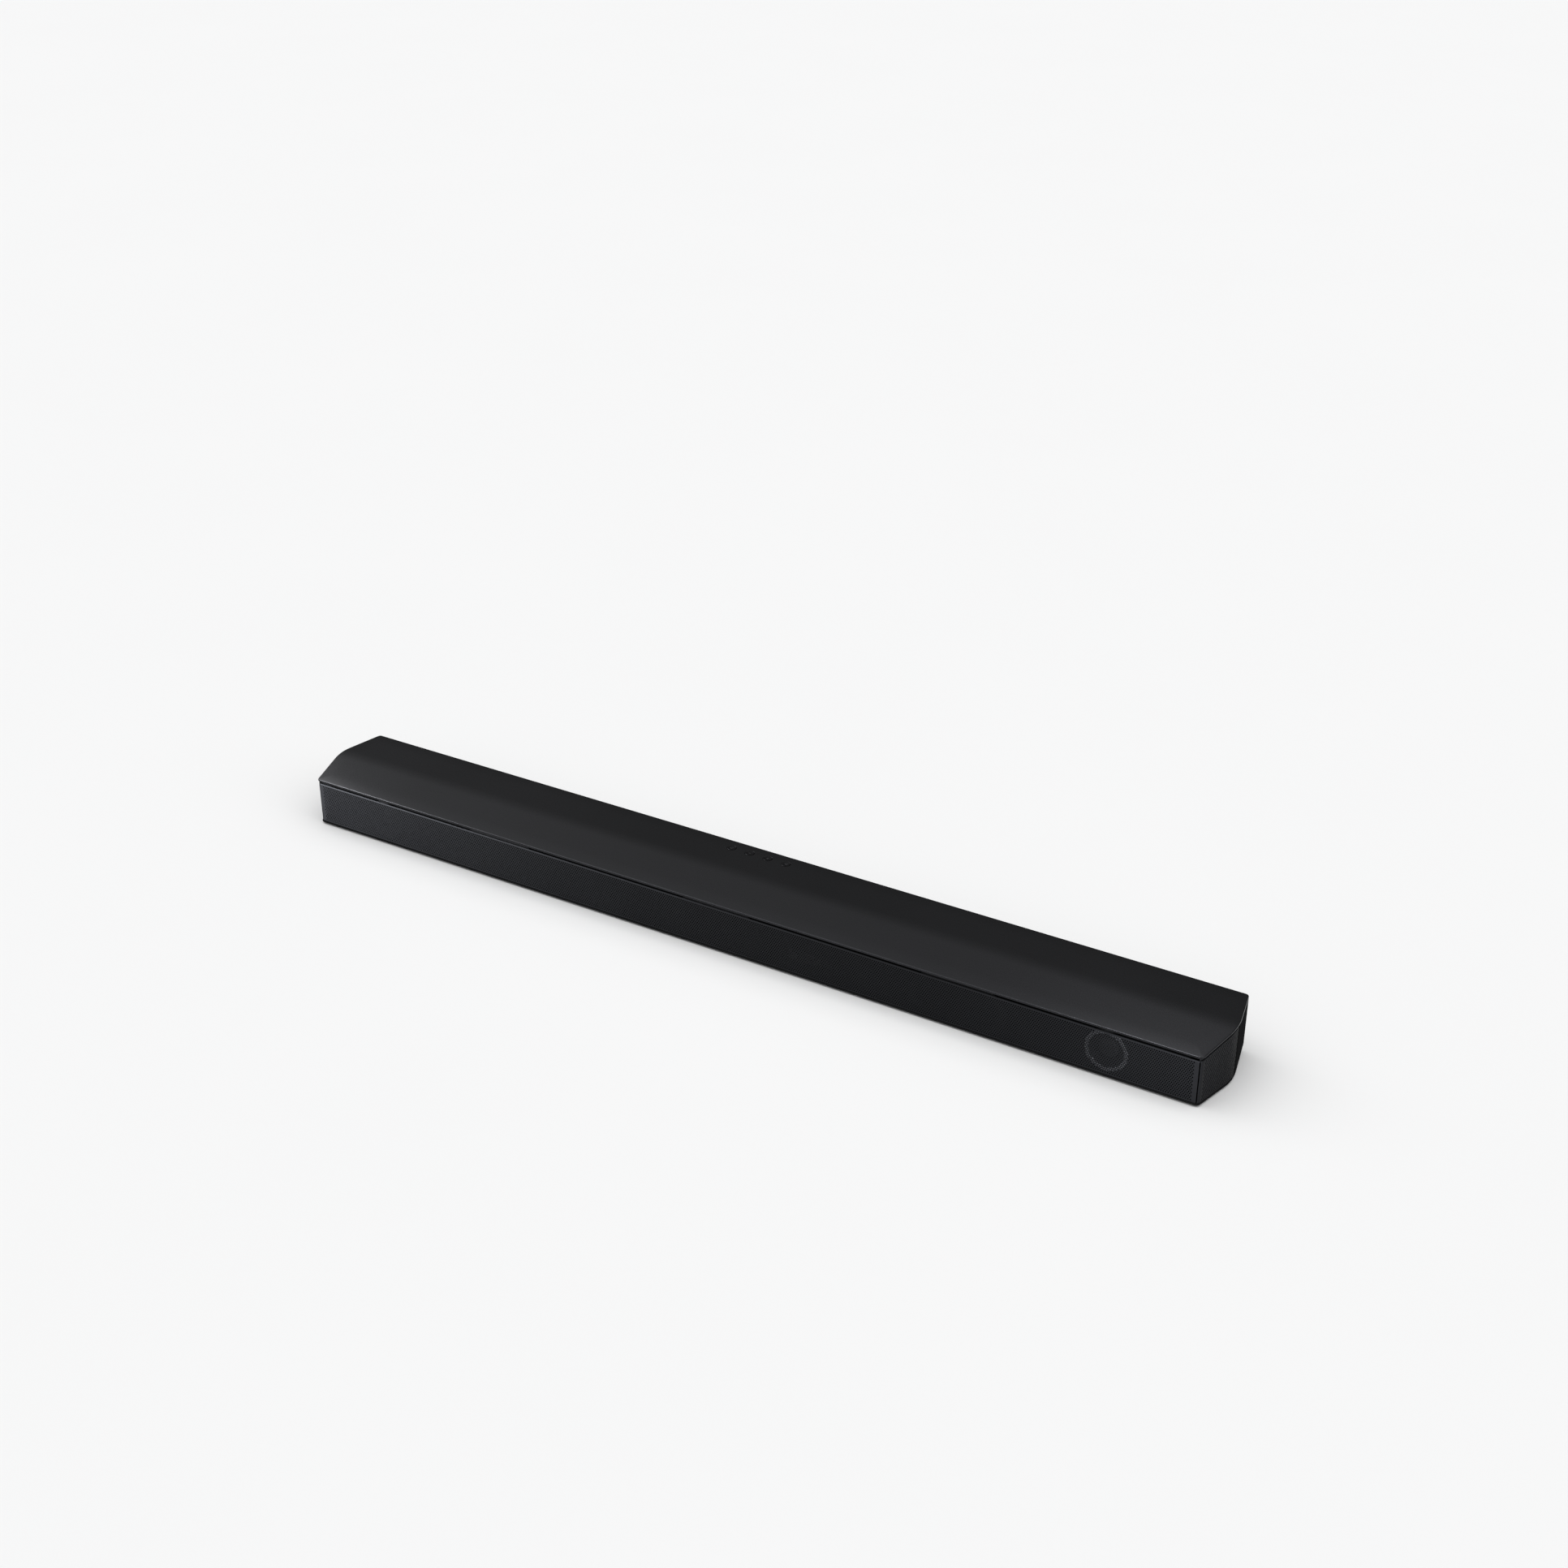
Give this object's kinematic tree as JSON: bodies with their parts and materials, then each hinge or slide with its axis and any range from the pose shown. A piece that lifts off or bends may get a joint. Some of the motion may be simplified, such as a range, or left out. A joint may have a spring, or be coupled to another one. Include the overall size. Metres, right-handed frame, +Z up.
{
  "type": "soundbar",
  "caption": "Long low soundbar with pointed ends, sloped roof, perforated front, touch-height push keys, oval woofers, ringed tweeters and a rear connector bay.",
  "frame": {"origin": "middle of the rest plane, under the centre of the bar's box", "axes": "+X along the bar to its right end as seen from the front, -Y is the front with the grille, +Z up"},
  "size_m": [0.976, 0.101, 0.058],
  "materials": {
    "roof_plastic": "fine satin texture, near black",
    "tray_plastic": "moulded satin black",
    "grille_metal": "perforated sheet, satin black paint",
    "baffle_plastic": "matt black",
    "foot_rubber": "matt",
    "screw_steel": "black oxide",
    "key_plastic": "satin",
    "circuit_board": "solder mask green",
    "heat_sink_metal": "extruded",
    "bay_plastic": "moulded satin black",
    "socket_plastic": "satin",
    "socket_metal": "plated",
    "basket_steel": "black powder coat",
    "magnet_ferrite": "bare ferrite, dull",
    "coil_copper": "enamelled copper",
    "cone_paper": "black pressed pulp",
    "surround_rubber": "butyl, matt",
    "spider_cloth": "resin treated cloth",
    "waveguide_plastic": "satin dark grey",
    "dome_silk": "doped silk",
    "wire_vinyl": "satin"
  },
  "bodies": {
    "housing": {"top_cover": "roof_plastic", "bottom_cover": "tray_plastic", "front_grille": "grille_metal", "side_grille_left": "grille_metal", "side_grille_right": "grille_metal", "front_baffle": "baffle_plastic", "foot_front_left": "foot_rubber", "foot_front_right": "foot_rubber", "foot_rear_left": "foot_rubber", "foot_rear_right": "foot_rubber", "cover_screw_1": "screw_steel", "cover_screw_2": "screw_steel", "cover_screw_3": "screw_steel", "cover_screw_4": "screw_steel", "cover_screw_5": "screw_steel", "cover_screw_6": "screw_steel", "key_board": "circuit_board", "remote_receiver_board": "circuit_board", "main_board": "circuit_board", "amplifier_board": "circuit_board", "wireless_module": "circuit_board", "heat_sink": "heat_sink_metal", "connector_panel": "bay_plastic", "dc_inlet": "socket_plastic", "optical_socket": "socket_plastic", "usb_socket": "socket_metal", "video_socket": "socket_metal", "woofer_basket_left": "basket_steel", "woofer_magnet_left": "magnet_ferrite", "woofer_surround_left": "surround_rubber", "woofer_spider_left": "spider_cloth", "speaker_wire_left": "wire_vinyl", "woofer_basket_centre": "basket_steel", "woofer_magnet_centre": "magnet_ferrite", "woofer_surround_centre": "surround_rubber", "woofer_spider_centre": "spider_cloth", "speaker_wire_centre": "wire_vinyl", "woofer_basket_right": "basket_steel", "woofer_magnet_right": "magnet_ferrite", "woofer_surround_right": "surround_rubber", "woofer_spider_right": "spider_cloth", "speaker_wire_right": "wire_vinyl", "waveguide_ring_left": "waveguide_plastic", "tweeter_surround_left": "surround_rubber", "tweeter_magnet_left": "magnet_ferrite", "waveguide_ring_right": "waveguide_plastic", "tweeter_surround_right": "surround_rubber", "tweeter_magnet_right": "magnet_ferrite"},
    "key_power": {"key_power": "key_plastic"},
    "key_volume_down": {"key_volume_down": "key_plastic"},
    "key_volume_up": {"key_volume_up": "key_plastic"},
    "key_source": {"key_source": "key_plastic"},
    "woofer_left": {"woofer_cone_left": "cone_paper", "woofer_voice_coil_left": "coil_copper"},
    "woofer_centre": {"woofer_cone_centre": "cone_paper", "woofer_voice_coil_centre": "coil_copper"},
    "woofer_right": {"woofer_cone_right": "cone_paper", "woofer_voice_coil_right": "coil_copper"},
    "tweeter_left": {"tweeter_dome_left": "dome_silk"},
    "tweeter_right": {"tweeter_dome_right": "dome_silk"}
  },
  "joints": [
    {"name": "key_power_press", "type": "slide", "parent": "housing", "child": "key_power", "axis": [0, 0, -1], "range_m": [0, 0.0006], "stiffness_N_per_m": 1200},
    {"name": "key_volume_down_press", "type": "slide", "parent": "housing", "child": "key_volume_down", "axis": [0, 0, -1], "range_m": [0, 0.0006], "stiffness_N_per_m": 1200},
    {"name": "key_volume_up_press", "type": "slide", "parent": "housing", "child": "key_volume_up", "axis": [0, 0, -1], "range_m": [0, 0.0006], "stiffness_N_per_m": 1200},
    {"name": "key_source_press", "type": "slide", "parent": "housing", "child": "key_source", "axis": [0, 0, -1], "range_m": [0, 0.0006], "stiffness_N_per_m": 1200},
    {"name": "woofer_left_excursion", "type": "slide", "parent": "housing", "child": "woofer_left", "axis": [0, -1, 0], "range_m": [-0.0025, 0.0025], "stiffness_N_per_m": 1500, "deforming": ["woofer_surround_left", "woofer_spider_left"]},
    {"name": "woofer_centre_excursion", "type": "slide", "parent": "housing", "child": "woofer_centre", "axis": [0, -1, 0], "range_m": [-0.0025, 0.0025], "stiffness_N_per_m": 1500, "deforming": ["woofer_surround_centre", "woofer_spider_centre"]},
    {"name": "woofer_right_excursion", "type": "slide", "parent": "housing", "child": "woofer_right", "axis": [0, -1, 0], "range_m": [-0.0025, 0.0025], "stiffness_N_per_m": 1500, "deforming": ["woofer_surround_right", "woofer_spider_right"]},
    {"name": "tweeter_left_excursion", "type": "slide", "parent": "housing", "child": "tweeter_left", "axis": [0, -1, 0], "range_m": [-0.0003, 0.0003], "stiffness_N_per_m": 3000, "deforming": ["tweeter_surround_left"]},
    {"name": "tweeter_right_excursion", "type": "slide", "parent": "housing", "child": "tweeter_right", "axis": [0, -1, 0], "range_m": [-0.0003, 0.0003], "stiffness_N_per_m": 3000, "deforming": ["tweeter_surround_right"]}
  ]
}
